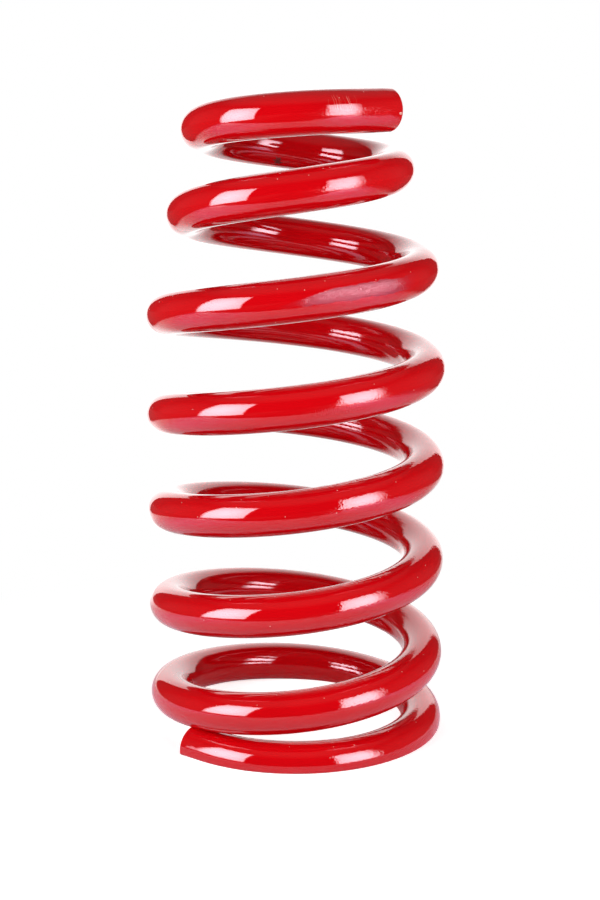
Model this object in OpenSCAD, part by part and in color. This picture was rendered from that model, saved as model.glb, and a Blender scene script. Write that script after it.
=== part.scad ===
// Helical compression spring, coiled cold from one round steel bar.
// The lower end is closed and ground flat to a seat, and the upper end is drawn in to a smaller open coil.
// The coil axis is Z, and the ground seat lies on Z = 0. Lengths are in millimetres, angles in degrees.

/* [Wire] */
// Diameter of the wire with its finish
wire_d = 16; // [12:0.5:18]

/* [Coils] */
// Outside diameter of the body coils
body_od = 118; // [105:1:150]
// Outside diameter of the drawn-in top coil
top_od = 89; // [75:1:105]
// Coiled turns, without the straight tails
turns = 7.2; // [6:0.05:9]
// Rise of the open coils in one turn
pitch = 38.5; // [32:0.5:46]
// Turns over which the coil draws in
taper_turns = 2; // [1:0.05:3]
// Turns at the top that keep the drawn-in diameter
neck_turns = 0.45; // [0.2:0.05:1]

/* [Closed lower end] */
// Thickness of wire that is left above the ground seat at the tip
tip_thickness = 9.4; // [7:0.1:11]
// Clear gap between the tip and the coil above it
tip_gap = 0.6; // [0.4:0.1:4]
// Turns at the tip that lie level, before the coil starts to climb
level_turns = 0.14; // [0:0.01:0.3]
// Straight length of wire at the tip
tip_tail = 11; // [2:1:20]
// Direction from the axis at which the coil leaves the straight tip
tip_angle = 232; // [0:1:359]

/* [Open upper end] */
// Clear gap between the start of the top tail and the coil below it
top_gap = 9.2; // [6:0.2:14]
// Rise in one turn that the wire still has at the top tail
top_pitch = 11.4; // [0:0.2:16]
// Straight length of wire at the top
top_tail = 18; // [2:1:30]

/* [Smoothness] */
// Facets around the wire
sides = 20; // [12:2:20]
// Sections along one turn of wire
sections = 38; // [24:2:38]

/* [Hidden] */

wire_r = wire_d / 2;
body_r = body_od / 2 - wire_r;
top_r = top_od / 2 - wire_r;
tip_height = tip_thickness - wire_r;
last_section = ceil(turns * sections);
// Fraction of a turn on each side of a point that gives the direction of the wire there
near = 1 / 2000;

// Turns that an end takes to ease from its own pitch to the open pitch, so that it rises by `rise` in one turn
function lead_turns(rise, level, end_pitch) =
    let (span = 1 - level)
    let (eased = (pitch * span - rise + end_pitch * level) / ((pitch - end_pitch) * span))
    span * (eased < 1 / 3 ? 3 * eased : 2 / (3 - sqrt(12 * eased - 3)));

// Turns of open pitch that an end gives up, x turns in from where its coil starts
function lost_turns(x, level, lead) =
    let (part = max(0, min(x - level, lead)) / lead)
    min(x, level) + lead / 3 * (1 - pow(1 - part, 3));

tip_lead = lead_turns(wire_d + tip_gap, level_turns, 0);
top_lead = lead_turns(wire_d + top_gap, 0, top_pitch);

// Height of the wire's centre after t turns
function height(t) =
    let (lost_at_tip = lost_turns(t, level_turns, tip_lead))
    let (lost_at_top = lost_turns(turns, 0, top_lead) - lost_turns(turns - t, 0, top_lead))
    tip_height + pitch * (t - lost_at_tip) - (pitch - top_pitch) * lost_at_top;

// Share of the way from the body coils to the drawn-in coil after t turns
function drawn_in(t) =
    let (part = max(0, min(1, (t - turns + neck_turns) / taper_turns + 1)))
    part * part * (3 - 2 * part);

function coil_r(t) = body_r + (top_r - body_r) * drawn_in(t);

function coil_point(t) =
    let (angle = tip_angle + 360 * t)
    [coil_r(t) * cos(angle), coil_r(t) * sin(angle), height(t)];

function unit(v) = v / norm(v);

function direction(t) = unit(coil_point(t + near) - coil_point(t - near));

// Round section of the wire, square to its direction, with one facet facing straight down
function section(centre, along) =
    let (outward = unit([along.y, -along.x, 0]))
    let (upward = cross(outward, along))
    [
        for (side = [0 : sides - 1])
            let (angle = (side + 0.5) * 360 / sides - 90)
            centre + wire_r * (cos(angle) * outward + sin(angle) * upward)
    ];

function coil_sections() = [
    for (i = [0 : last_section])
        let (t = turns * i / last_section)
        section(coil_point(t), direction(t))
];

function wire_sections() = concat(
    [section(coil_point(0) - tip_tail * direction(0), direction(0))],
    coil_sections(),
    [section(coil_point(turns) + top_tail * direction(turns), direction(turns))]
);

// Closed skin through a row of sections
module skin(rows) {
    count = len(rows);
    end = (count - 1) * sides;
    walls = [
        for (row = [0 : count - 2])
            for (side = [0 : sides - 1])
                let (a = row * sides + side)
                let (b = row * sides + (side + 1) % sides)
                each [[a, b, b + sides], [a, b + sides, a + sides]]
    ];
    first_face = [for (side = [sides - 1 : -1 : 0]) side];
    last_face = [for (side = [0 : sides - 1]) end + side];
    polyhedron(points = [for (row = rows) each row], faces = concat(walls, [first_face, last_face]));
}

// Block that takes away all that lies below the seat, as the grinding wheel does
module grinding() {
    translate([-body_od, -body_od, -wire_d])
        cube([2 * body_od, 2 * body_od, wire_d]);
}

module coil_spring() {
    color("#d10a14")
        difference() {
            skin(wire_sections());
            grinding();
        }
}

coil_spring();
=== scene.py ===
"""Looks of a helical compression spring in gloss red enamel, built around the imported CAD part.

Laid out as a Blender add-on and run as a script. Lengths are in metres, in the frame of the CAD part.
"""
from functools import partial
from math import asin, cos, pi, radians, sin, sqrt

import bmesh
import bpy
from bpy.props import FloatProperty, FloatVectorProperty, IntProperty, PointerProperty
from mathutils import Matrix, Vector


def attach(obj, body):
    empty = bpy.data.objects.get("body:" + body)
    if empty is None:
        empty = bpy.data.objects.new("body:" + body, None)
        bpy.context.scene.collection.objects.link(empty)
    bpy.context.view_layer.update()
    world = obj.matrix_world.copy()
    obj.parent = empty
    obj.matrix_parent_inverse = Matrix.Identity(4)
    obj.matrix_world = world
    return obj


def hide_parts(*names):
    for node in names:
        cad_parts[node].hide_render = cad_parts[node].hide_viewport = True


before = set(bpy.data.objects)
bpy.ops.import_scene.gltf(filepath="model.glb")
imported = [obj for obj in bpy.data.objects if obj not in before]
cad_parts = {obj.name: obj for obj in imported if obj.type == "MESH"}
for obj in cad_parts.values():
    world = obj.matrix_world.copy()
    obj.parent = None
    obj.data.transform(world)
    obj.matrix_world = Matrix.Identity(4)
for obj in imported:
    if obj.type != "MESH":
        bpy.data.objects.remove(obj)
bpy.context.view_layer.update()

bl_info = {
    "name": "Helical compression spring",
    "version": (1, 0, 0),
    "blender": (4, 5, 0),
    "location": "View3D > Sidebar > Spring",
    "description": "Builds a gloss red coil spring and the table it stands on",
    "category": "Object",
}

MM = 0.001
WHITE = (1, 1, 1, 1)

# Settings that many nodes share
MULTIPLY = {"operation": "MULTIPLY"}
MULTIPLY_ADD = {"operation": "MULTIPLY_ADD"}
SUM = {"operation": "ADD"}
LARGER = {"operation": "MAXIMUM"}
DISTANCE = {"operation": "DISTANCE"}
SMOOTH = {"interpolation_type": "SMOOTHSTEP"}
COLOURS = {"data_type": "RGBA"}


def linear_colour(hex_value):
    """Linear red, green and blue of an sRGB hex value."""
    parts = [int(hex_value[i:i + 2], 16) / 255 for i in (0, 2, 4)]
    return tuple(p / 12.92 if p <= 0.04045 else ((p + 0.055) / 1.055) ** 2.4 for p in parts)


def add_node(tree, kind, inputs=(), **settings):
    """Adds a shader node with its settings, and gives its outputs.

    The inputs are a list in the node's own order, or go by name. A socket is linked, any other value is set.
    """
    node = tree.nodes.new("ShaderNode" + kind)
    for name, value in settings.items():
        setattr(node, name, value)
    for name, value in inputs.items() if isinstance(inputs, dict) else enumerate(inputs):
        if isinstance(value, bpy.types.NodeSocket):
            tree.links.new(value, node.inputs[name])
        else:
            node.inputs[name].default_value = value
    return node.outputs


def empty_tree(owner):
    """Clears the nodes of a material or a world, and gives the function that adds nodes to it."""
    owner.use_nodes = True
    owner.node_tree.nodes.clear()
    return partial(add_node, owner.node_tree)


def between(add, value, low, high, soft):
    """1 where the value lies between low and high, and softly 0 outside."""
    rise = add("MapRange", [value, low - soft, low + soft], **SMOOTH)[0]
    fall = add("MapRange", [value, high + soft, high - soft], **SMOOTH)[0]
    return add("Math", [rise, fall], **MULTIPLY)[0]


class SpringSizes(bpy.types.PropertyGroup):
    """Sizes of the coiled wire, as in the part's source."""

    wire_d: FloatProperty(
        name="Wire diameter", description="Diameter of the wire with its finish",
        default=16 * MM, min=12 * MM, max=18 * MM, unit="LENGTH")
    body_od: FloatProperty(
        name="Body diameter", description="Outside diameter of the body coils",
        default=118 * MM, min=105 * MM, max=150 * MM, unit="LENGTH")
    top_od: FloatProperty(
        name="Top diameter", description="Outside diameter of the drawn-in top coil",
        default=89 * MM, min=75 * MM, max=105 * MM, unit="LENGTH")
    turns: FloatProperty(
        name="Turns", description="Coiled turns, without the straight tails", default=7.2, min=6, max=9)
    pitch: FloatProperty(
        name="Pitch", description="Rise of the open coils in one turn",
        default=38.5 * MM, min=32 * MM, max=46 * MM, unit="LENGTH")
    taper_turns: FloatProperty(
        name="Taper turns", description="Turns over which the coil draws in", default=2, min=1, max=3)
    neck_turns: FloatProperty(
        name="Neck turns", description="Turns at the top that keep the drawn-in diameter",
        default=0.45, min=0.2, max=1)
    tip_thickness: FloatProperty(
        name="Tip thickness", description="Wire that is left above the ground seat at the tip",
        default=9.4 * MM, min=7 * MM, max=11 * MM, unit="LENGTH")
    tip_gap: FloatProperty(
        name="Tip gap", description="Clear gap between the tip and the coil above it",
        default=0.6 * MM, min=0.4 * MM, max=4 * MM, unit="LENGTH")
    level_turns: FloatProperty(
        name="Level turns", description="Turns at the tip that lie level before the coil climbs",
        default=0.14, min=0, max=0.3)
    tip_tail: FloatProperty(
        name="Tip tail", description="Straight length of wire at the tip",
        default=11 * MM, min=2 * MM, max=20 * MM, unit="LENGTH")
    tip_angle: FloatProperty(
        name="Tip angle", description="Direction from the axis at which the coil leaves the straight tip",
        default=radians(232), subtype="ANGLE")
    top_gap: FloatProperty(
        name="Top gap", description="Clear gap between the start of the top tail and the coil below it",
        default=9.2 * MM, min=6 * MM, max=14 * MM, unit="LENGTH")
    top_pitch: FloatProperty(
        name="Top pitch", description="Rise in one turn that the wire still has at the top tail",
        default=11.4 * MM, min=0, max=16 * MM, unit="LENGTH")
    top_tail: FloatProperty(
        name="Top tail", description="Straight length of wire at the top",
        default=18 * MM, min=2 * MM, max=30 * MM, unit="LENGTH")
    tip_round: FloatProperty(
        name="Tip rounding", description="Radius to which the paint rounds the rim of the cut at the tip",
        default=0.8 * MM, min=0.2 * MM, max=2 * MM, unit="LENGTH")
    top_round: FloatProperty(
        name="Top rounding", description="Radius to which the rim of the cut at the top tail is rounded",
        default=1.7 * MM, min=0.2 * MM, max=3 * MM, unit="LENGTH")
    seat_round: FloatProperty(
        name="Seat rounding", description="Width to which the paint rounds the edge of the ground seat",
        default=0.5 * MM, min=0.1 * MM, max=1 * MM, unit="LENGTH")
    stations: IntProperty(
        name="Stations", description="Sections along one turn of wire", default=96, min=48, max=128)


class EnamelLook(bpy.types.PropertyGroup):
    """Colours and roughness of the paint."""

    enamel: FloatVectorProperty(
        name="Enamel", description="Colour of the paint", subtype="COLOR",
        default=linear_colour("c9040d"), min=0, max=1)
    # Painted shade as well: the enamel turns to this colour inside the coil, besides where the coat is
    # thinner at random
    enamel_thin_and_shaded: FloatVectorProperty(
        name="Thin enamel", description="Colour where the coat is a little thinner", subtype="COLOR",
        default=linear_colour("b2030b"), min=0, max=1)
    roughness: FloatProperty(
        name="Roughness", description="Roughness of the clean paint", subtype="FACTOR",
        default=0.045, min=0, max=1)
    roughness_inside: FloatProperty(
        name="Roughness inside", description="Roughness of the paint inside the coil", subtype="FACTOR",
        default=0.09, min=0, max=1)
    # Its mauve is partly a painted sheen: it stands in for the dim softbox reflection that a rub spreads out
    rubbed_and_sheen: FloatVectorProperty(
        name="Rubbed enamel", description="Colour of paint that is rubbed dull", subtype="COLOR",
        default=linear_colour("7c3a4c"), min=0, max=1)
    # Also the colour of the painted glint on the rim at the top
    dust_and_glint: FloatVectorProperty(
        name="Dust", description="Colour of dust caught in the paint, and of scratches", subtype="COLOR",
        default=linear_colour("eab8a8"), min=0, max=1)
    steel: FloatVectorProperty(
        name="Steel", description="Colour of the dull steel in a chip", subtype="COLOR",
        default=linear_colour("33211f"), min=0, max=1)


class StageSetup(bpy.types.PropertyGroup):
    """Camera, lamps and what the paint mirrors."""

    camera_place: FloatVectorProperty(
        name="Camera", description="Place of the camera", subtype="XYZ", unit="LENGTH",
        default=(1.6 * MM, -565 * MM, 214.5 * MM))
    camera_pitch: FloatProperty(
        name="Camera pitch", description="Angle by which the camera looks down", subtype="ANGLE",
        default=0.1796)
    lens: FloatProperty(
        name="Lens", description="Focal length on a 36 mm high frame, in millimetres",
        default=57.7, min=20, max=200)
    lamp_level: FloatProperty(
        name="Lamps", description="Radiance of the lamps that light the object",
        default=6.3, min=0, max=20)
    room_level: FloatProperty(
        name="Room", description="Radiance of the room that lights the object from all round",
        default=0.05, min=0, max=2)
    softbox_level: FloatProperty(
        name="Softboxes", description="Radiance of the softboxes, as the paint mirrors them",
        default=22, min=0, max=40)
    backdrop_level: FloatProperty(
        name="Backdrop", description="Radiance of the backdrop, as the paint mirrors it",
        default=2.15, min=0, max=10)


# The coiled wire

def lead_turns(s, rise, level, end_pitch):
    """Turns in which an end eases from its own pitch to the open one, so that one turn rises by `rise`."""
    span = 1 - level
    eased = (s.pitch * span - rise + end_pitch * level) / ((s.pitch - end_pitch) * span)
    return span * (3 * eased if eased < 1 / 3 else 2 / (3 - sqrt(12 * eased - 3)))


def lost_turns(x, level, lead):
    """Turns of open pitch that an end gives up, x turns in from where its coil starts."""
    part = max(0, min(x - level, lead)) / lead
    return min(x, level) + lead / 3 * (1 - (1 - part) ** 3)


def coil_point(s, t):
    """Centre of the wire after t turns."""
    tip_lead = lead_turns(s, s.wire_d + s.tip_gap, s.level_turns, 0)
    top_lead = lead_turns(s, s.wire_d + s.top_gap, 0, s.top_pitch)
    lost_at_tip = lost_turns(t, s.level_turns, tip_lead)
    lost_at_top = lost_turns(s.turns, 0, top_lead) - lost_turns(s.turns - t, 0, top_lead)
    height = (s.tip_thickness - s.wire_d / 2 + s.pitch * (t - lost_at_tip)
              - (s.pitch - s.top_pitch) * lost_at_top)
    part = max(0, min(1, (t - s.turns + s.neck_turns) / s.taper_turns + 1))
    drawn_in = part * part * (3 - 2 * part)
    radius = (s.body_od + (s.top_od - s.body_od) * drawn_in - s.wire_d) / 2
    angle = s.tip_angle + 2 * pi * t
    return Vector((radius * cos(angle), radius * sin(angle), height))


# Fraction of a turn on each side of a point that gives the direction of the wire there
NEAR = 1 / 2000


def coil_direction(s, t):
    """Direction in which the wire runs after t turns."""
    return (coil_point(s, t + NEAR) - coil_point(s, t - NEAR)).normalized()


# Sections that round the rim of a cut, and sections along a straight tail
RIM_SECTIONS = 4
TAIL_SECTIONS = 4


def wire_stations(s):
    """Centre, direction and inset of each section, from the cut face of the tip to that of the top tail."""
    angles = [pi / 2 * (1 - i / RIM_SECTIONS) for i in range(RIM_SECTIONS)]
    rounding = [(1 - sin(a), 1 - cos(a)) for a in angles]
    start, end = coil_point(s, 0), coil_point(s, s.turns)
    first, last = coil_direction(s, 0), coil_direction(s, s.turns)
    tip, top = s.tip_tail - s.tip_round, s.top_tail - s.top_round
    count = round(s.turns * s.stations)
    turns = [s.turns * i / count for i in range(count + 1)]
    return (
        [(start - first * (s.tip_tail - s.tip_round * back), first, s.tip_round * inset)
         for back, inset in rounding]
        + [(start - first * tip * (1 - i / TAIL_SECTIONS), first, 0.0) for i in range(TAIL_SECTIONS)]
        + [(coil_point(s, t), coil_direction(s, t), 0.0) for t in turns]
        + [(end + last * top * (i + 1) / TAIL_SECTIONS, last, 0.0) for i in range(TAIL_SECTIONS)]
        + [(end + last * (s.top_tail - s.top_round * back), last, s.top_round * inset)
           for back, inset in reversed(rounding)]
    )


ARC_POINTS = 42
SEAT_POINTS = 7
RING_POINTS = ARC_POINTS + SEAT_POINTS + 2
# Lowest place of the two points between arc and seat, on a section that is still round
ROUND_CORNER = -sin(radians(63))


def section_places(radius, depth, edge):
    """Places round a section, as shares of its radius out and up: the arc, then the seat between two edges.

    What lies below `depth` is ground off, and the edge of the seat is rounded over the width `edge`.
    """
    corner = asin(max(depth, ROUND_CORNER))
    low = corner + edge / radius
    angles = [low + (pi - 2 * low) * i / (ARC_POINTS - 1) for i in range(ARC_POINTS)]
    arc = [(cos(a), sin(a)) for a in angles]
    wide = cos(corner) - edge / radius
    outs = [wide * (2 * i / (SEAT_POINTS - 1) - 1) for i in range(SEAT_POINTS)]
    seat = [(out, max(-sqrt(1 - out * out), depth)) for out in outs]
    right = [(a + 2 * c + b) / 4 for a, c, b in zip(arc[0], (cos(corner), sin(corner)), seat[-1])]
    left = [-right[0], right[1]]
    return arc + [left] + seat + [right]


def section_axes(along):
    """Directions out and up in the section of a wire that runs along the given direction."""
    outward = Vector((along.y, -along.x, 0)).normalized()
    return outward, outward.cross(along)


def sweep_wire(bm, s):
    """Extrudes a ring of points along the coil, section by section, and closes both cut faces.

    The layer `wire` keeps each point's run along the wire in metres and its place out and up in the section.
    """
    place_layer = bm.verts.layers.float_vector.new("wire")
    ring = bmesh.ops.create_circle(bm, segments=RING_POINTS, radius=s.wire_d / 2)["verts"]
    edges = list(bm.edges)
    ends = [edges]
    run, before = 0.0, None
    for centre, along, inset in wire_stations(s):
        if before is not None:
            made = bmesh.ops.extrude_edge_only(bm, edges=edges)["geom"]
            ring = [part for part in made if isinstance(part, bmesh.types.BMVert)]
            edges = [part for part in made if isinstance(part, bmesh.types.BMEdge)]
            run += (centre - before).length
        radius = s.wire_d / 2 - inset
        outward, upward = section_axes(along)
        depth = max(-1.0, (inset - centre.z) / (radius * upward.z))
        for vert, (out, up) in zip(ring, section_places(radius, depth, s.seat_round)):
            vert.co = centre + radius * (out * outward + up * upward)
            vert[place_layer] = (run, out, up)
        before = centre
    ends.append(edges)
    for face in bm.faces:
        face.smooth = True
    for rim in ends:
        bmesh.ops.edgeloop_fill(bm, edges=rim)
    bmesh.ops.recalc_face_normals(bm, faces=bm.faces)


# Steps in which the length of the wire is added up
RUN_STEPS = 400


def wire_run(s, turn):
    """Run along the wire, from its cut tip, to where it has made `turn` turns."""
    points = [coil_point(s, turn * i / RUN_STEPS) for i in range(RUN_STEPS + 1)]
    return s.tip_tail + sum((b - a).length for a, b in zip(points, points[1:]))


# The paint. Places out and up in a section are shares of the wire's radius, and right is the side of +X

# Orange peel: width of its dimples, and their depth on the left and on the right
PEEL_WIDTH, PEEL_LEFT, PEEL_RIGHT = 5 * MM, 0.026 * MM, 0.045 * MM
# The finer skin on it: width of its dimples, and their depth outside and inside the coil, low on the right,
# and what a scuff adds
SKIN_WIDTH = 0.8 * MM
SKIN_OUTSIDE, SKIN_INSIDE, SKIN_LOW, SKIN_SCUFFED = 0.0015 * MM, 0.008 * MM, 0.032 * MM, 0.03 * MM
# Scuffs: from where to where across the coil, and up the section
SCUFFED_ACROSS, SCUFFED_UP = (2 * MM, 36 * MM), (-0.45, 0.1)
# Specks of dust: width of the cells that may hold one, radius at the edge and of the core, and height
SPECK_CELL, SPECK_EDGE, SPECK_CORE, SPECK_HEIGHT = 8 * MM, 0.22 * MM, 0.10 * MM, 0.1 * MM
# A pale dot on the rim at the top, a painted glint: how far from the top end, place up the section, and
# radius at the edge and of the core
GLINT_BACK, GLINT_UP, GLINT_EDGE, GLINT_CORE = 1.0 * MM, -0.2, 0.7 * MM, 0.4 * MM
# Blotches that make the edges of rubs and scratches uneven
BLOTCH_WIDTH = 6 * MM
# Rubs: turns from and to, lowest and highest place up the section, how worn it is, and the length over which
# its upper edge climbs
RUBBED = (
    (5.105, 5.234, -0.25, 0.42, 1.0, 24 * MM),
    (4.125, 4.165, -0.40, -0.04, 0.4, 4 * MM),
    (4.205, 4.265, -0.40, 0.05, 0.4, 4 * MM),
)
RUB_SOFT = 8 * MM
# Hair-fine lines across the wire: width, length and depth
HAIR_WIDTH, HAIR_LENGTH, HAIR_DEPTH = 0.12 * MM, 2.0 * MM, 0.06 * MM
# Fine scratches across the top tail, given as a rub is, and their width
SCRATCHED = (7.154, 7.190, 0.02, 0.64, 1.0, 1 * MM)
SCRATCH_SOFT, SCRATCH_WIDTH = 1 * MM, 0.3 * MM
# Softness of the lower and upper edge of rubs and scratches
SOFT_UP = 0.06
# A chip down to the steel: turn, place out and up in the section, radius at the edge and of the core, and
# how ragged its edge is
CHIP_TURN, CHIP_OUT, CHIP_UP = 6.6410, -0.70, -0.71
CHIP_EDGE, CHIP_CORE, CHIP_RAGGED = 1.9 * MM, 1.4 * MM, 1.5 * MM
# Width of the patches in which the coat varies in thickness
COAT_WIDTH = 40 * MM
# How far each mark hides the colour of the enamel, and what it adds to the roughness
# The rub's tint is partly a painted sheen of the spread softbox reflection
# The specks' tint also colours the painted glint on the rim at the top
RUB_SHEEN_TINT, SCRATCH_TINT, SPECK_GLINT_TINT, CHIP_TINT = 0.65, 0.3, 0.75, 0.85
RUB_ROUGH, SCRATCH_ROUGH, SCUFF_ROUGH, CHIP_ROUGH = 0.27, 0.25, 0.2, 0.4
ENAMEL_IOR = 1.5


def scuffs(add, side, out, up):
    """Where handling has scuffed the coils, in a band to the right of the middle."""
    across = between(add, side, *SCUFFED_ACROSS, 6 * MM)
    scuffed = add("Math", [across, between(add, up, *SCUFFED_UP, 0.15)], **MULTIPLY)[0]
    outside = add("MapRange", [out, 0.2, 0.5], **SMOOTH)[0]
    return add("Math", [scuffed, outside], **MULTIPLY)[0]


def skin_depth(add, side, height, out, scuffed):
    """Depth of the fine skin, which is coarser low on the right, inside the coil and on scuffs."""
    right = add("MapRange", [side, 0.0, 0.025, 0.0, SKIN_LOW], **SMOOTH)[0]
    low = add("MapRange", [height, 0.20, 0.165], **SMOOTH)[0]
    low_right = add("Math", [right, low], **MULTIPLY)[0]
    inside = add("MapRange", [out, -0.1, -0.5, SKIN_OUTSIDE, SKIN_INSIDE], **SMOOTH)[0]
    coarse = add("Math", [low_right, inside], **LARGER)[0]
    return add("Math", [scuffed, SKIN_SCUFFED, coarse], **MULTIPLY_ADD)[0]


def dust_specks_and_glint(add, s, unrolled, out, up):
    """Dust specks in some cells, most on the upper side, and a pale dot on the rim at the top that is a
    painted glint.
    """
    cells = add("TexVoronoi", {"Vector": unrolled, "Scale": 1 / SPECK_CELL}, voronoi_dimensions="2D")
    chance = add("SeparateColor", [cells["Color"]])["Red"]
    above = add("MapRange", [up, -0.2, 0.5, 0.06, 0.4], **SMOOTH)[0]
    outside = add("MapRange", [out, -0.4, 0.0], **SMOOTH)[0]
    share = add("Math", [above, outside], **MULTIPLY)[0]
    kept = add("Math", [chance, share], operation="LESS_THAN")[0]
    dot_radii = SPECK_EDGE / SPECK_CELL, SPECK_CORE / SPECK_CELL
    dot = add("MapRange", [cells["Distance"], *dot_radii], **SMOOTH)[0]
    speck_and_glint = add("Math", [kept, dot], **MULTIPLY)[0]
    # Painted glint: a pale dot on the rim of the cut at the top
    glint_place = (wire_run(s, s.turns) + s.top_tail - GLINT_BACK, asin(GLINT_UP) * s.wire_d / 2, 0)
    gap = add("VectorMath", [unrolled, glint_place], **DISTANCE)["Value"]
    painted_glint = add("MapRange", [gap, GLINT_EDGE, GLINT_CORE], **SMOOTH)[0]
    return add("Math", [speck_and_glint, painted_glint], **LARGER)[0]


def on_wire(add, s, run, up, patch, soft):
    """How worn a patch of the wire is, given by its turns and its heights in the section."""
    start, end, low, high, worn, climb = patch
    first, last = wire_run(s, start), wire_run(s, end)
    along = add("Math", [between(add, run, first, last, soft), worn], **MULTIPLY)[0]
    sunk = add("MapRange", [run, first - soft, first - soft + climb, 0.8 * (high - low), 0.0], **SMOOTH)[0]
    below = add("Math", [up, sunk], **SUM)[0]
    lower = add("MapRange", [up, low - SOFT_UP, low + SOFT_UP], **SMOOTH)[0]
    upper = add("MapRange", [below, high + SOFT_UP, high - SOFT_UP], **SMOOTH)[0]
    across = add("Math", [lower, upper], **MULTIPLY)[0]
    return add("Math", [along, across], **MULTIPLY)[0]


def rubs(add, s, run, out, wavy_up, blotch):
    """How far the paint is worn dull by rubbing, on the outside of the coil; the colour it sets there is
    partly a painted sheen.
    """
    shift = add("Math", [blotch, 8 * MM, -4 * MM], **MULTIPLY_ADD)[0]
    wavy_run = add("Math", [run, shift], **SUM)[0]
    rubbed_and_sheen = 0.0
    for patch in RUBBED:
        rubbed_and_sheen = add("Math", [rubbed_and_sheen, on_wire(add, s, wavy_run, wavy_up, patch, RUB_SOFT)], **LARGER)[0]
    outside = add("MapRange", [out, 0.3, 0.6], **SMOOTH)[0]
    return add("Math", [rubbed_and_sheen, outside], **MULTIPLY)[0]


def scratches(add, s, run, up, wavy_up, blotch):
    """A few pale lines across the top tail, slanted and a little bent."""
    bent = add("Math", [blotch, 2.5 * MM, run], **MULTIPLY_ADD)[0]
    slanted = add("Math", [up, 0.9 * MM, bent], **MULTIPLY_ADD)[0]
    noise = {"W": slanted, "Scale": 1 / SCRATCH_WIDTH, "Detail": 1.0}
    lines = add("TexNoise", noise, noise_dimensions="1D")["Fac"]
    tail = on_wire(add, s, run, wavy_up, SCRATCHED, SCRATCH_SOFT)
    return add("Math", [tail, add("MapRange", [lines, 0.6, 0.72], **SMOOTH)[0]], **MULTIPLY)[0]


def steel_chip(add, s, place, skin):
    """Where the paint is chipped off, with a ragged edge."""
    outward, upward = section_axes(coil_direction(s, CHIP_TURN))
    centre = coil_point(s, CHIP_TURN) + s.wire_d / 2 * (CHIP_OUT * outward + CHIP_UP * upward)
    gap = add("VectorMath", [place, centre], **DISTANCE)["Value"]
    uneven = add("Math", [skin, 2 * CHIP_RAGGED, -CHIP_RAGGED], **MULTIPLY_ADD)[0]
    ragged = add("Math", [gap, uneven], **SUM)[0]
    return add("MapRange", [ragged, CHIP_EDGE, CHIP_CORE], **SMOOTH)[0]


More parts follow.
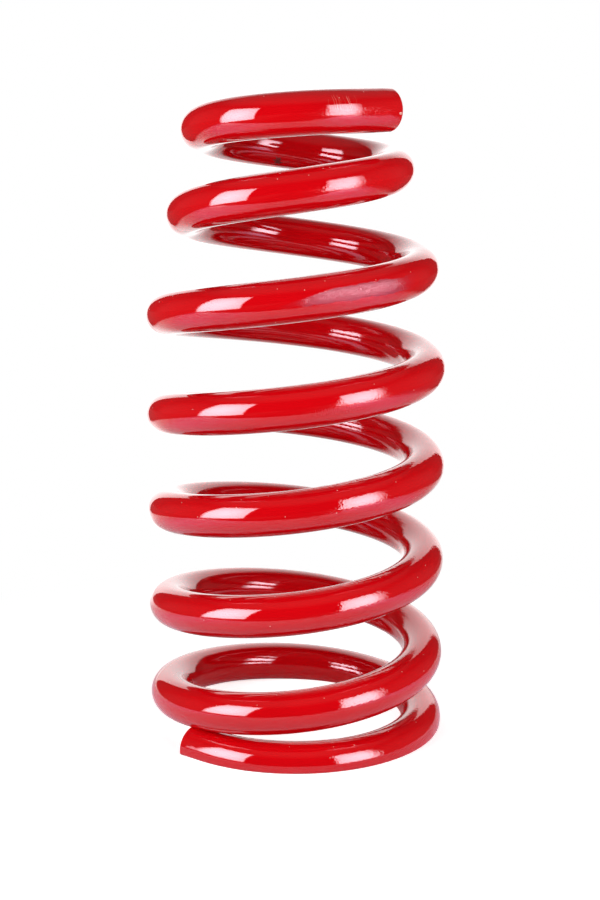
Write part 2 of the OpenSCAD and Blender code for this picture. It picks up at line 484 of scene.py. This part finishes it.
def gloss_red_enamel(s, look):
    """Sprayed alkyd enamel on steel: a deep, even red under a wet-looking skin.

    It mirrors lamps with crisp edges that the orange peel of the spray bends a little. Inside the coil,
    Inside the coil, where the spray arrives half dry, it is less glossy, and its colour is darker there as
    painted shade. Dust specks are caught in it, with a pale dot on the rim at the top that is a painted
    glint, one strand is worn dull by rubbing and its colour there is partly a painted sheen, and it has a
    chip.
    """
    material = bpy.data.materials.new("Gloss red enamel, sprayed")
    add = empty_tree(material)
    place = add("TexCoord")["Object"]
    side, _, height = add("SeparateXYZ", [place])
    wire = add("Attribute", attribute_name="wire")["Vector"]
    run, out, up = add("SeparateXYZ", [wire])
    angle = add("Math", [up, out], operation="ARCTAN2")[0]
    around = add("Math", [angle, s.wire_d / 2], **MULTIPLY)[0]
    unrolled = add("CombineXYZ", [run, around])["Vector"]

    # Patterns, each at its own real size
    peel = add("TexNoise", {"Vector": place, "Scale": 1 / PEEL_WIDTH, "Detail": 1.0})["Fac"]
    skin = add("TexNoise", {"Vector": place, "Scale": 1 / SKIN_WIDTH, "Detail": 0.0})["Fac"]
    blotch = add("TexNoise", {"Vector": place, "Scale": 1 / BLOTCH_WIDTH, "Detail": 2.0})["Fac"]
    coat = add("TexNoise", {"Vector": place, "Scale": 1 / COAT_WIDTH, "Detail": 2.0})["Fac"]
    stretched = add("VectorMath", [unrolled, (1 / HAIR_WIDTH, 1 / HAIR_LENGTH, 0)], **MULTIPLY)["Vector"]
    hair = add("TexNoise", {"Vector": stretched, "Scale": 1.0, "Detail": 0.0}, noise_dimensions="2D")["Fac"]

    # Marks
    wave = add("Math", [blotch, 0.3, -0.15], **MULTIPLY_ADD)[0]
    wavy_up = add("Math", [up, wave], **SUM)[0]
    scuffed = scuffs(add, side, out, up)
    speck_and_glint = dust_specks_and_glint(add, s, unrolled, out, up)
    rubbed_and_sheen = rubs(add, s, run, out, wavy_up, blotch)
    scratched = scratches(add, s, run, up, wavy_up, blotch)
    chipped = steel_chip(add, s, place, skin)

    # Relief. The hair-fine lines of a rub draw the mirrored lamps out along the wire
    peel_depth = add("MapRange", [side, 0.0, 0.045, PEEL_LEFT, PEEL_RIGHT], **SMOOTH)[0]
    hair_depth = add("Math", [rubbed_and_sheen, HAIR_DEPTH], **MULTIPLY)[0]
    normal = add("Bump", {"Height": peel, "Distance": peel_depth})["Normal"]
    reliefs = (
        (skin, skin_depth(add, side, height, out, scuffed)),
        (speck_and_glint, SPECK_HEIGHT),
        (hair, hair_depth),
    )
    for relief, depth in reliefs:
        normal = add("Bump", {"Height": relief, "Distance": depth, "Normal": normal})["Normal"]

    # Colour: the coat varies slightly in thickness at random, it is darker inside the coil as painted shade,
    # and the marks cover it
    uneven = add("MapRange", [coat, 0.2, 0.6, 0.7], **SMOOTH)[0]
    # Painted shade: the colour turns to the darker enamel towards the inside of the coil
    lit_outside = add("MapRange", [out, -0.5, 0.1, 0.3], **SMOOTH)[0]
    thick_and_lit = add("Math", [uneven, lit_outside], **MULTIPLY)[0]
    coats = {"Factor": thick_and_lit, "A": (*look.enamel_thin_and_shaded, 1), "B": (*look.enamel, 1)}
    colour = add("Mix", coats, **COLOURS)["Result"]
    tints = (
        # The rub's mauve is partly a painted sheen of the spread softbox reflection
        (add("Math", [rubbed_and_sheen, 2.0], operation="POWER")[0], RUB_SHEEN_TINT, look.rubbed_and_sheen),
        (scratched, SCRATCH_TINT, look.dust_and_glint),
        # This mask also holds the pale dot on the top rim, a painted glint
        (speck_and_glint, SPECK_GLINT_TINT, look.dust_and_glint),
        (chipped, CHIP_TINT, look.steel),
    )
    for share, most, tint in tints:
        factor = add("Math", [share, most], **MULTIPLY)[0]
        colour = add("Mix", {"Factor": factor, "A": colour, "B": (*tint, 1)}, **COLOURS)["Result"]

    # Roughness
    clean = add("MapRange", [out, 0.1, -0.5, look.roughness, look.roughness_inside], **SMOOTH)[0]
    rub_rough = add("Math", [rubbed_and_sheen, RUB_ROUGH], **MULTIPLY)[0]
    chip_rough = add("Math", [chipped, CHIP_ROUGH], **MULTIPLY)[0]
    worn = add("Math", [rub_rough, chip_rough], **LARGER)[0]
    worn = add("Math", [scratched, SCRATCH_ROUGH, worn], **MULTIPLY_ADD)[0]
    ticks = add("Math", [scuffed, add("MapRange", [hair, 0.5, 0.65], **SMOOTH)[0]], **MULTIPLY)[0]
    worn = add("Math", [ticks, SCUFF_ROUGH, worn], **MULTIPLY_ADD)[0]
    rough = add("Math", [clean, worn], **SUM)[0]

    finish = {"Base Color": colour, "Roughness": rough, "IOR": ENAMEL_IOR, "Normal": normal}
    add("OutputMaterial", {"Surface": add("BsdfPrincipled", finish)["BSDF"]})
    return material


class SPRING_OT_coil_wire(bpy.types.Operator):
    """Coils the wire, grinds its seat and paints it"""

    bl_idname = "spring.coil_wire"
    bl_label = "Coil wire"

    def execute(self, context):
        sizes = context.scene.spring_sizes
        bm = bmesh.new()
        sweep_wire(bm, sizes)
        if not all(edge.is_manifold for edge in bm.edges):
            raise RuntimeError("The wire's skin isn't closed")
        mesh = bpy.data.meshes.new("coil_wire")
        bm.to_mesh(mesh)
        bm.free()
        piece = bpy.data.objects.new("coil_wire", mesh)
        context.scene.collection.objects.link(piece)
        mesh.materials.append(gloss_red_enamel(sizes, context.scene.spring_look))
        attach(piece, "root")
        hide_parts("coil_spring")
        return {"FINISHED"}


# The stage

# Width and depth of the tabletop
TABLE_SIZE = 12


def stage_plane(name, width, depth, material, place=Matrix.Identity(4)):
    """A flat rectangle that belongs to the stage."""
    bm = bmesh.new()
    bmesh.ops.create_grid(bm, x_segments=1, y_segments=1, size=0.5)
    bmesh.ops.scale(bm, vec=(width, depth, 1), verts=bm.verts)
    mesh = bpy.data.meshes.new(name)
    bm.to_mesh(mesh)
    bm.free()
    mesh.materials.append(material)
    plane = bpy.data.objects.new(name, mesh)
    plane.matrix_world = place
    bpy.context.scene.collection.objects.link(plane)
    return plane


# Edges of the white tabletop that the paint mirrors. Left and right run in towards the back, as far as a
# strip of its own half width there, and the front runs out to the right, from a little right of the middle
TABLE_LEFT, LEFT_SLOPE, LEFT_SOFT = -0.625, 1.15, 0.06
TABLE_RIGHT, RIGHT_SLOPE, RIGHT_SOFT = 0.48, 0.85, 0.09
BACK_HALF, BACK_SOFT = 0.265, 0.03
TABLE_FRONT, FRONT_SLOPE, FRONT_SOFT, FRONT_BEND = -0.28, 0.4, 0.015, 0.08
# How far off the table turns plain white for the camera, and the white that is added close by and inside the
# lowest coil, which keeps the shadow soft
WHITE_FROM, WHITE_TO, WHITE_NEAR, WHITE_INSIDE = 0.06, 0.24, 0.6, 0.22
# Light that the floor inside the lowest coil throws back up
BOUNCE = 0.35
# Place below the right softbox where the table is brightest, how far that reaches, its core, and its level
POOL, POOL_REACH, POOL_CORE, POOL_LEVEL = (0.40, -0.38, 0.0), 0.30, 0.08, 1.8
LAMINATE, LAMINATE_DIM, TABLE_TINT = "f7f7f7", "989898", "ecb0ff"


def mirrored_table(add, place, x, y, aside, far):
    """Brightness of the table as the paint mirrors it.

    The softboxes light it from the front, most of all below the right one, and the backdrop lights it from
    behind. It is darker under the coil and in the coil's shade on the right.
    """
    outwards = add("MapRange", [aside, 0.04, 0.22, 0.40, 1.06], **SMOOTH)[0]
    towards_back = add("MapRange", [y, -0.05, 0.1, 1.0, 0.57], **SMOOTH)[0]
    sides = add("Math", [outwards, towards_back], **MULTIPLY)[0]
    behind = add("Math", [x, 0.3, y], **MULTIPLY_ADD)[0]
    shade_right = add("MapRange", [x, 0.05, 0.15], **SMOOTH)[0]
    shade_back = add("MapRange", [behind, 0.0, 0.15], **SMOOTH)[0]
    shade = add("Math", [shade_right, shade_back], **MULTIPLY)[0]
    sides = add("Math", [sides, add("Math", [shade, -0.5, 1.0], **MULTIPLY_ADD)[0]], **MULTIPLY)[0]
    back = add("MapRange", [y, 0.12, 0.28, 0.0, 0.85], **SMOOTH)[0]
    middle = add("MapRange", [aside, 0.15, 0.3, 1.0, 0.2], **SMOOTH)[0]
    back = add("Math", [back, middle], **MULTIPLY)[0]
    back = add("Math", [back, add("MapRange", [x, -0.02, 0.12, 1.0, 0.45], **SMOOTH)[0]], **MULTIPLY)[0]
    gap = add("VectorMath", [place, POOL], **DISTANCE)["Value"]
    pool = add("MapRange", [gap, POOL_REACH, POOL_CORE, 0.0, POOL_LEVEL], **SMOOTH)[0]
    lit = add("Math", [add("Math", [sides, back], **SUM)[0], pool], **SUM)[0]
    under_coil = add("MapRange", [far, 0.042, 0.064, 0.1, 1.0], **SMOOTH)[0]
    return add("Math", [lit, under_coil], **MULTIPLY)[0]


def past_table(add, x, y, aside):
    """1 past the edges of the table, as the paint mirrors it."""
    left = add("Math", [y, -LEFT_SLOPE, x], **MULTIPLY_ADD)[0]
    right = add("Math", [y, RIGHT_SLOPE, x], **MULTIPLY_ADD)[0]
    past_left = add("MapRange", [left, TABLE_LEFT + LEFT_SOFT, TABLE_LEFT - LEFT_SOFT], **SMOOTH)[0]
    past_right = add("MapRange", [right, TABLE_RIGHT - RIGHT_SOFT, TABLE_RIGHT + RIGHT_SOFT], **SMOOTH)[0]
    past_sides = add("Math", [past_left, past_right], **LARGER)[0]
    past_strip = add("MapRange", [aside, BACK_HALF - BACK_SOFT, BACK_HALF + BACK_SOFT], **SMOOTH)[0]
    past_sides = add("Math", [past_sides, past_strip], **MULTIPLY)[0]
    right_of_bend = add("Math", [x, FRONT_BEND], operation="SUBTRACT")[0]
    right_of_bend = add("Math", [right_of_bend, 0.0], **LARGER)[0]
    front = add("Math", [right_of_bend, FRONT_SLOPE, y], **MULTIPLY_ADD)[0]
    past_front = add("MapRange", [front, TABLE_FRONT + FRONT_SOFT, TABLE_FRONT - FRONT_SOFT], **SMOOTH)[0]
    return add("Math", [past_front, past_sides], **LARGER)[0]


def white_tabletop():
    """Matt white laminate: an even white that keeps soft shadows.

    The paint mirrors it with a violet tint, brighter below the softboxes, up to the table's edges.
    """
    material = bpy.data.materials.new("White laminate, matt")
    add = empty_tree(material)
    place = add("TexCoord")["Object"]
    rays = add("LightPath")
    camera_ray = rays["Is Camera Ray"]
    diffuse_ray = rays["Is Diffuse Ray"]
    glossy_ray = rays["Is Glossy Ray"]
    x, y, _ = add("SeparateXYZ", [place])
    aside = add("Math", [x], operation="ABSOLUTE")[0]
    far = add("VectorMath", [place], operation="LENGTH")["Value"]

    # For the camera it turns plain white, and nearly so inside the lowest coil
    seen = add("MapRange", [far, WHITE_FROM, WHITE_TO], **SMOOTH)[0]
    seen = add("Math", [camera_ray, seen], **MULTIPLY)[0]
    close_by = add("MapRange", [far, WHITE_TO, WHITE_FROM, 0.0, WHITE_NEAR], **SMOOTH)[0]
    inside = add("MapRange", [far, 0.055, 0.045, 0.0, WHITE_INSIDE], **SMOOTH)[0]
    lift = add("Math", [camera_ray, add("Math", [close_by, inside], **SUM)[0]], **MULTIPLY)[0]
    # Light that bounces off it to the object is dimmer, as from a table of ordinary size
    shades = {"A": (*linear_colour(LAMINATE), 1), "B": (*linear_colour(LAMINATE_DIM), 1)}
    albedo = add("Mix", {"Factor": diffuse_ray, **shades}, **COLOURS)["Result"]
    matt = add("BsdfDiffuse", {"Color": albedo})["BSDF"]
    plain = add("Emission", {"Color": WHITE, "Strength": 1.0})["Emission"]
    near = add("MixShader", [seen, matt, plain])["Shader"]

    # In the paint it glows as the softboxes light it, tinted in front and at the sides
    lit = mirrored_table(add, place, x, y, aside, far)
    in_front = add("MapRange", [y, 0.2, 0.0], **SMOOTH)[0]
    at_sides = add("MapRange", [aside, 0.05, 0.25, 0.6, 1.0], **SMOOTH)[0]
    tinted = add("Math", [glossy_ray, add("Math", [in_front, at_sides], **MULTIPLY)[0]], **MULTIPLY)[0]
    hues = {"A": WHITE, "B": (*linear_colour(TABLE_TINT), 1)}
    tint = add("Mix", {"Factor": tinted, **hues}, **COLOURS)["Result"]
    # Inside the lowest coil it throws some light back up, as a floor does that is lit through the gaps
    bounce = add("MapRange", [far, 0.06, 0.04, 0.0, BOUNCE], **SMOOTH)[0]
    bounce = add("Math", [diffuse_ray, bounce], **MULTIPLY)[0]
    strength = add("Math", [glossy_ray, lit, add("Math", [lift, bounce], **SUM)[0]], **MULTIPLY_ADD)[0]
    glow = add("Emission", {"Color": tint, "Strength": strength})["Emission"]
    bright = add("AddShader", [near, glow])["Shader"]

    # Past its edges the paint mirrors the dark room
    room = add("MapRange", [aside, 0.15, 0.45, 0.04, 0.12], **SMOOTH)[0]
    dark = add("Emission", {"Color": WHITE, "Strength": room})["Emission"]
    past = add("Math", [past_table(add, x, y, aside), glossy_ray], **MULTIPLY)[0]
    add("OutputMaterial", {"Surface": add("MixShader", [past, bright, dark])["Shader"]})
    return material


# Softboxes: place of the centre, width, height, height of the hot spot above the table, level, and width of
# the soft edge on the side towards the camera and on the side away from it
SOFTBOXES = {
    "left": ((-0.536, -0.357, 0.368), 0.440, 0.644, 0.305, 0.94, 0.02, 0.045),
    "right": ((0.499, -0.456, 0.329), 0.452, 0.658, 0.245, 0.89, 0.05, 0.14),
}
# The softboxes face the coil a little to either side of its front
FACED = {"left": (-0.035, -0.045), "right": (0.035, -0.045)}
# Soft edges of the cloth at its foot and top, and the share of light that is left at an edge
SOFT_FOOT, SOFT_TOP, EDGE_SHARE = 0.04, 0.08, 0.25
# Distances from the hot spot, across and up, at which a softbox is half as bright
HOT_ACROSS, HOT_UP = 0.36, 0.48
CLOTH = "fbf1ff"
# The flash behind the cloth is low, so the lamps stand lower than the softboxes do
LAMP_DROP = 0.1
# Lamp that lights the back of the coil: place, width, height and share of the lamps' level
BACK_LAMP = ((0.0, 1.0, 0.25), 0.7, 0.5, 0.9)
# Backdrop: left and right edge, distance behind the coil's axis, and height
BACKDROP_LEFT, BACKDROP_RIGHT, BACKDROP_BACK, BACKDROP_HEIGHT = -0.285, 0.30, 0.45, 0.85
# Shares of the backdrop's level at its foot and top, and on its left and right
PAPER_FOOT, PAPER_TOP, PAPER_LEFT, PAPER_RIGHT = 0.7, 0.3, 0.97, 1.02
# Heights above its foot from which it is fully lit, and between which it darkens to its top
PAPER_LIT, PAPER_FADE, PAPER_DARK = 0.14, 0.38, 0.80
# Height of the camera's frame, in millimetres
FRAME_HEIGHT = 36


def facing(place, target):
    """Matrix of an upright card or lamp at `place`, with its -Z side turned to the target's X and Y."""
    back = Vector((place[0] - target[0], place[1] - target[1], 0)).normalized()
    side = Vector((0, 0, 1)).cross(back)
    turn = Matrix((side, (0, 0, 1), back)).transposed().to_4x4()
    return Matrix.Translation(place) @ turn


def softbox_cloth(name, level, spot, width, height, soft_left, soft_right):
    """Lit diffuser cloth: brightest at the flash behind it, falling off outwards, and dim at its frame."""
    material = bpy.data.materials.new(name)
    add = empty_tree(material)
    x, y, _ = add("SeparateXYZ", [add("TexCoord")["Object"]])
    wide = add("Math", [x, HOT_ACROSS], operation="DIVIDE")[0]
    high = add("Math", [y, spot], operation="SUBTRACT")[0]
    high = add("Math", [high, HOT_UP], operation="DIVIDE")[0]
    spread = add("Math", [high, high, 1.0], **MULTIPLY_ADD)[0]
    spread = add("Math", [wide, wide, spread], **MULTIPLY_ADD)[0]
    strength = add("Math", [level, spread], operation="DIVIDE")[0]
    edges = (
        (x, -width / 2, soft_left),
        (x, width / 2, -soft_right),
        (y, -height / 2, SOFT_FOOT),
        (y, height / 2, -SOFT_TOP),
    )
    for value, edge, soft in edges:
        fade = add("MapRange", [value, edge, edge + soft, EDGE_SHARE], **SMOOTH)[0]
        strength = add("Math", [strength, fade], **MULTIPLY)[0]
    light = add("Emission", {"Color": (*linear_colour(CLOTH), 1), "Strength": strength})["Emission"]
    add("OutputMaterial", {"Surface": light})
    material.cycles.emission_sampling = "NONE"
    return material


def backdrop_paper(level):
    """White backdrop paper, lit half-way up: darker towards the table, its top and, slightly, the left."""
    material = bpy.data.materials.new("Backdrop paper")
    add = empty_tree(material)
    x, y, _ = add("SeparateXYZ", [add("TexCoord")["Object"]])
    foot = -BACKDROP_HEIGHT / 2
    lower = add("MapRange", [y, foot, foot + PAPER_LIT, PAPER_FOOT * level, level], **SMOOTH)[0]
    upper = add("MapRange", [y, foot + PAPER_FADE, foot + PAPER_DARK, 1.0, PAPER_TOP], **SMOOTH)[0]
    # The card faces the camera, so its own X runs to the left
    aside = add("MapRange", [x, -0.1, 0.1, PAPER_RIGHT, PAPER_LEFT], **SMOOTH)[0]
    strength = add("Math", [lower, upper], **MULTIPLY)[0]
    strength = add("Math", [strength, aside], **MULTIPLY)[0]
    light = add("Emission", {"Color": WHITE, "Strength": strength})["Emission"]
    add("OutputMaterial", {"Surface": light})
    material.cycles.emission_sampling = "NONE"
    return material


def mirrored_only(card):
    """Leaves a card to reflections: it lights nothing and isn't seen."""
    card.visible_camera = False
    card.visible_diffuse = False
    card.visible_shadow = False


def soft_lamp(name, width, height, level, place):
    """A lamp that lights the object. The paint doesn't mirror it, because it mirrors the cards."""
    lamp = bpy.data.lights.new(name, "AREA")
    lamp.shape = "RECTANGLE"
    lamp.size, lamp.size_y = width, height
    lamp.energy = level * pi * width * height
    light = bpy.data.objects.new(name, lamp)
    light.matrix_world = place
    light.visible_camera = False
    light.visible_glossy = False
    bpy.context.scene.collection.objects.link(light)


class SPRING_OT_studio(bpy.types.Operator):
    """Sets up the table, the lamps, what the paint mirrors, and the camera"""

    bl_idname = "spring.studio"
    bl_label = "Studio"

    def execute(self, context):
        scene = context.scene
        setup = scene.spring_stage
        stage_plane("tabletop", TABLE_SIZE, TABLE_SIZE, white_tabletop())
        for name, (place, width, height, spot, level, soft_near, soft_far) in SOFTBOXES.items():
            turn = facing(place, FACED[name])
            soft = (soft_far, soft_near) if name == "left" else (soft_near, soft_far)
            shine = setup.softbox_level * level
            cloth = softbox_cloth(f"Softbox cloth, {name}", shine, spot - place[2], width, height, *soft)
            mirrored_only(stage_plane(f"softbox_{name}", width, height, cloth, turn))
            lower = Matrix.Translation((0, 0, -LAMP_DROP)) @ turn
            soft_lamp(f"lamp_{name}", width, height, setup.lamp_level, lower)
        place, width, height, share = BACK_LAMP
        soft_lamp("lamp_back", width, height, setup.lamp_level * share, facing(place, (0, 0)))
        wide = BACKDROP_RIGHT - BACKDROP_LEFT
        middle = ((BACKDROP_LEFT + BACKDROP_RIGHT) / 2, BACKDROP_BACK, BACKDROP_HEIGHT / 2)
        paper = backdrop_paper(setup.backdrop_level)
        turn = facing(middle, (middle[0], 0))
        mirrored_only(stage_plane("backdrop", wide, BACKDROP_HEIGHT, paper, turn))
        self.light_room(scene, setup)
        self.place_camera(scene, setup)
        scene.view_settings.view_transform = "Standard"
        return {"FINISHED"}

    def light_room(self, scene, setup):
        """White for the camera, dim in the gloss of the paint, and even for all else."""
        world = bpy.data.worlds.new("Studio")
        scene.world = world
        add = empty_tree(world)
        rays = add("LightPath")
        x, y, z = add("SeparateXYZ", [add("TexCoord")["Generated"]])
        aside = add("Math", [x], operation="ABSOLUTE")[0]
        side_walls = add("MapRange", [aside, 0.6, 0.95, 0.02, 0.17], **SMOOTH)[0]
        back_wall = add("MapRange", [y, 0.1, 0.5, 0.02, 0.06], **SMOOTH)[0]
        ceiling = add("MapRange", [z, 0.6, 0.9, 0.02, 0.22], **SMOOTH)[0]
        walls = add("Math", [side_walls, back_wall], **LARGER)[0]
        dim = add("Math", [walls, ceiling], **LARGER)[0]
        even = add("Background", {"Color": WHITE, "Strength": setup.room_level})["Background"]
        mirrored = add("Background", {"Color": WHITE, "Strength": dim})["Background"]
        white = add("Background", {"Color": WHITE, "Strength": 1.0})["Background"]
        lit = add("MixShader", [rays["Is Glossy Ray"], even, mirrored])["Shader"]
        whole = add("MixShader", [rays["Is Camera Ray"], lit, white])["Shader"]
        add("OutputWorld", {"Surface": whole})

    def place_camera(self, scene, setup):
        """Puts the camera in front of the coil, looking slightly down."""
        data = bpy.data.cameras.new("camera")
        data.lens = setup.lens
        data.sensor_width = FRAME_HEIGHT
        camera = bpy.data.objects.new("camera", data)
        camera.location = setup.camera_place
        camera.rotation_euler = (pi / 2 - setup.camera_pitch, 0, 0)
        scene.collection.objects.link(camera)
        scene.camera = camera


class SPRING_PT_panel(bpy.types.Panel):
    """Lists what builds the spring and its stage"""

    bl_label = "Helical spring"
    bl_idname = "SPRING_PT_panel"
    bl_space_type = "VIEW_3D"
    bl_region_type = "UI"
    bl_category = "Spring"

    def draw(self, context):
        for group in (context.scene.spring_sizes, context.scene.spring_look, context.scene.spring_stage):
            box = self.layout.box()
            for name in group.__annotations__:
                box.prop(group, name)
        for operator in (SPRING_OT_coil_wire, SPRING_OT_studio):
            self.layout.operator(operator.bl_idname)


CLASSES = (SpringSizes, EnamelLook, StageSetup, SPRING_OT_coil_wire, SPRING_OT_studio, SPRING_PT_panel)


def register():
    for part in CLASSES:
        bpy.utils.register_class(part)
    bpy.types.Scene.spring_sizes = PointerProperty(type=SpringSizes)
    bpy.types.Scene.spring_look = PointerProperty(type=EnamelLook)
    bpy.types.Scene.spring_stage = PointerProperty(type=StageSetup)


def unregister():
    del bpy.types.Scene.spring_stage, bpy.types.Scene.spring_look, bpy.types.Scene.spring_sizes
    for part in reversed(CLASSES):
        bpy.utils.unregister_class(part)


def main():
    register()
    bpy.ops.spring.coil_wire()
    bpy.ops.spring.studio()


if __name__ == "__main__":
    main()
